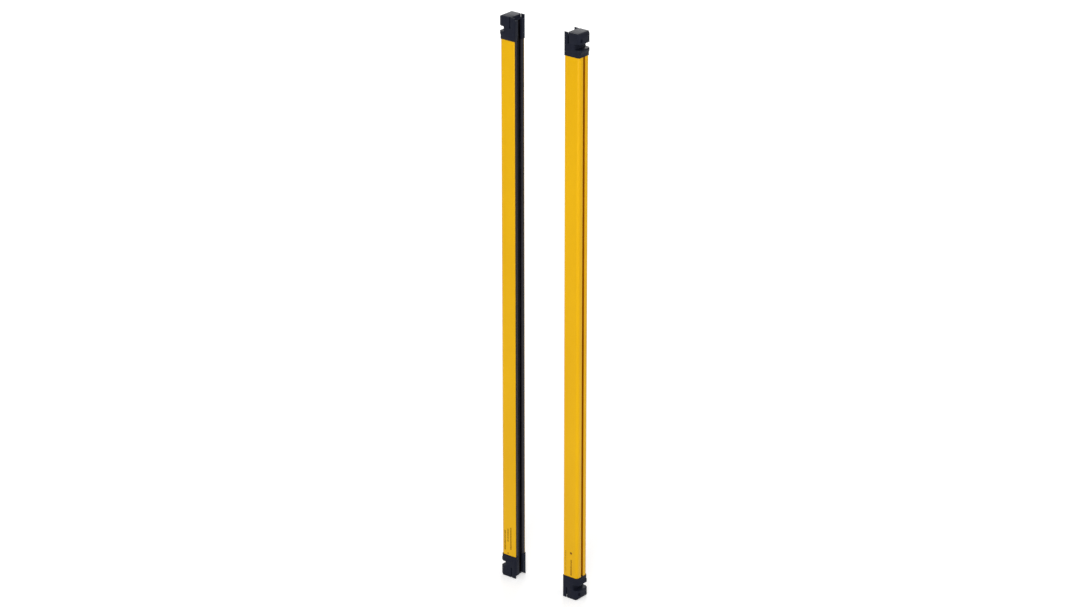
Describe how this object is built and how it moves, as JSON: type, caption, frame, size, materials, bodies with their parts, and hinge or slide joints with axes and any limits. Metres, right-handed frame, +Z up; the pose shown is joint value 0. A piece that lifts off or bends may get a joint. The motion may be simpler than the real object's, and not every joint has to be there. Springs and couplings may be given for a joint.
{
  "type": "safety light curtain",
  "caption": "Pair of slim upright safety light curtain bars, emitter and receiver: yellow profile, dark sunken window, black end caps with bracket notches and plug-in sockets.",
  "frame": {"origin": "midway between the two bars, at the level of their bottom ends", "axes": "+Z up along the bars, +X along the light beams from emitter to receiver, +Y across the bars"},
  "size_m": [0.1926, 0.0334, 1.15],
  "materials": {
    "yellow_coat": "satin powder coat",
    "cap_plastic": "fine moulded grain",
    "rail_plastic": "smooth extruded",
    "window_black": "polished, dark to the eye",
    "seal_rubber": "matte",
    "clear_plastic": "clear moulded",
    "carrier_plastic": "matte black",
    "board_green": "solder mask",
    "element_amber": "clear resin",
    "insulator_film": "amber film",
    "chip_black": "moulded",
    "nickel": "nickel plated, satin",
    "insert_plastic": "matte",
    "gold": "gold plated"
  },
  "bodies": {
    "root": {"emitter_housing": "yellow_coat", "emitter_front_rail_left": "rail_plastic", "emitter_front_rail_right": "rail_plastic", "emitter_window": "window_black", "emitter_window_gasket": "seal_rubber", "emitter_top_cap": "cap_plastic", "emitter_top_cap_gasket": "seal_rubber", "emitter_bottom_cap": "cap_plastic", "emitter_bottom_cap_gasket": "seal_rubber", "emitter_lens_strip": "clear_plastic", "emitter_optics_carrier": "carrier_plastic", "emitter_beam_board": "board_green", "emitter_beam_elements": "element_amber", "emitter_insulator": "insulator_film", "emitter_control_board": "board_green", "emitter_control_chips": "chip_black", "emitter_board_header": "chip_black", "emitter_flex_cable": "insulator_film", "emitter_light_pipe": "clear_plastic", "emitter_connector_shell": "nickel", "emitter_connector_core": "insert_plastic", "emitter_connector_pins": "gold", "receiver_housing": "yellow_coat", "receiver_front_rail_left": "rail_plastic", "receiver_front_rail_right": "rail_plastic", "receiver_window": "window_black", "receiver_window_gasket": "seal_rubber", "receiver_top_cap": "cap_plastic", "receiver_top_cap_gasket": "seal_rubber", "receiver_bottom_cap": "cap_plastic", "receiver_bottom_cap_gasket": "seal_rubber", "receiver_lens_strip": "clear_plastic", "receiver_optics_carrier": "carrier_plastic", "receiver_beam_board": "board_green", "receiver_beam_elements": "element_amber", "receiver_insulator": "insulator_film", "receiver_control_board": "board_green", "receiver_control_chips": "chip_black", "receiver_board_header": "chip_black", "receiver_flex_cable": "insulator_film", "receiver_light_pipe": "clear_plastic", "receiver_connector_shell": "nickel", "receiver_connector_core": "insert_plastic", "receiver_connector_pins": "gold"}
  },
  "joints": []
}
